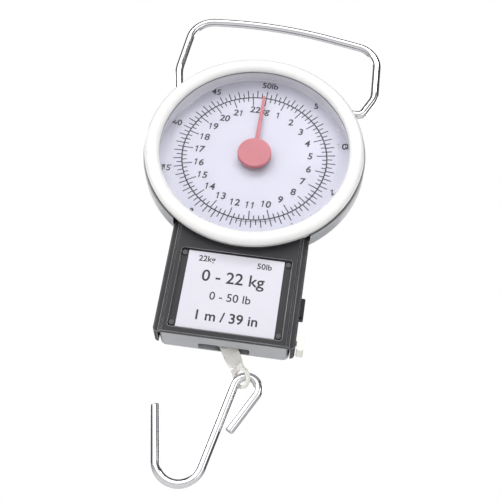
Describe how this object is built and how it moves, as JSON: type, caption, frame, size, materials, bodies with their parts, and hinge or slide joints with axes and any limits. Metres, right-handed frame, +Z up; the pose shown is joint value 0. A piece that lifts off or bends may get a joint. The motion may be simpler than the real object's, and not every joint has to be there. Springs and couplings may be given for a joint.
{
  "type": "hanging spring scale",
  "caption": "Hand-held hanging spring scale: round dial under a clear lens, wire bail handle, swinging wire hook, and a pull-out tape measure with a lock button in the lower box.",
  "frame": {"origin": "middle of the handle's grip bar, where a hand or a peg holds the scale", "axes": "+Z up along the line of pull, -Y out of the dial's face, +X to the reader's right"},
  "size_m": [0.09, 0.0207, 0.2032],
  "materials": {
    "chrome_wire": "bright nickel-plated wire",
    "case_grey": "fine moulded satin",
    "cover_black": "fine moulded satin",
    "plug_grey": "satin",
    "label_paper": "satin printed card",
    "bezel_white": "gloss",
    "lens_clear": "clear moulded styrene",
    "retainer_white": "satin",
    "dial_white": "satin printed face",
    "plated_steel": "bright zinc plated",
    "spring_steel": "drawn wire, oiled",
    "gear_brass": "machined brass",
    "bearing_plastic": "satin nylon",
    "pointer_red": "semi gloss",
    "link_cream": "smooth cream enamel",
    "tape_steel": "coated woven tape",
    "reel_white": "satin",
    "axle_steel": "turned",
    "tab_cream": "satin",
    "button_black": "satin"
  },
  "bodies": {
    "handle": {"handle_bail": "chrome_wire"},
    "housing": {"rear_case": "case_grey", "front_cover": "cover_black", "label_card": "label_paper", "cover_plugs": "plug_grey", "bezel_ring": "bezel_white", "lens": "lens_clear", "lens_retainer": "retainer_white", "dial_plate": "dial_white", "frame_plate": "plated_steel", "frame_screws": "plated_steel", "spring_anchor_pins": "plated_steel", "extension_spring_left": "spring_steel", "extension_spring_right": "spring_steel", "rack_guide": "bearing_plastic", "front_bushing": "gear_brass", "rear_bushing": "bearing_plastic", "tape_axle": "axle_steel", "tape_mouth": "tab_cream", "tape_return_spring": "spring_steel", "lock_spring": "spring_steel", "case_screws": "plated_steel"},
    "carriage": {"drawbar": "plated_steel", "spring_seats": "plated_steel", "rack": "gear_brass", "rack_rivets": "plated_steel", "link_rivet": "plated_steel"},
    "pointer": {"pinion": "gear_brass", "pointer_arbor": "plated_steel", "pointer_needle": "pointer_red", "pointer_hub_cap": "pointer_red"},
    "link": {"twisted_link": "link_cream"},
    "hook": {"wire_hook": "chrome_wire"},
    "reel": {"tape_reel": "reel_white", "tape_coil": "tape_steel"},
    "tape_end": {"tape_strip": "tape_steel", "tape_end_tab": "tab_cream"},
    "lock": {"lock_button": "button_black"}
  },
  "joints": [
    {"name": "handle_swing", "type": "hinge", "parent": "handle", "child": "housing", "pos_m": [0, 0, -0.04], "axis": [1, 0, 0], "range_deg": [-90, 90]},
    {"name": "load_travel", "type": "slide", "parent": "housing", "child": "carriage", "axis": [0, 0, -1], "range_m": [0, 0.0244], "stiffness_N_per_m": 8850, "deforming": ["extension_spring_left", "extension_spring_right"]},
    {"name": "pointer_turn", "type": "hinge", "parent": "housing", "child": "pointer", "pos_m": [0, -0.004, -0.069], "axis": [0, 1, 0], "range_deg": [0, 350]},
    {"name": "link_swing", "type": "hinge", "parent": "carriage", "child": "link", "pos_m": [0, 0.0039, -0.1445], "axis": [0, 1, 0], "range_deg": [-5, 65.5]},
    {"name": "hook_swing", "type": "hinge", "parent": "link", "child": "hook", "pos_m": [0.0103, 0.0039, -0.16205], "axis": [0, 1, 0], "range_deg": [-140, 12]},
    {"name": "tape_pull", "type": "slide", "parent": "housing", "child": "tape_end", "axis": [1, 0, 0], "range_m": [0, 1], "stiffness_N_per_m": 2, "springref_m": -1},
    {"name": "reel_turn", "type": "hinge", "parent": "housing", "child": "reel", "pos_m": [0.002, -0.0015, -0.1334], "axis": [0, 1, 0], "continuous": true},
    {"name": "lock_press", "type": "slide", "parent": "housing", "child": "lock", "axis": [-1, 0, 0], "range_m": [0, 0.0012], "stiffness_N_per_m": 900, "springref_m": -0.0006, "deforming": ["lock_spring"]}
  ],
  "couplings": [
    {"joint": "pointer_turn", "follows": "load_travel", "rad_per_m": 250},
    {"joint": "reel_turn", "follows": "tape_pull", "rad_per_m": -90.909}
  ]
}
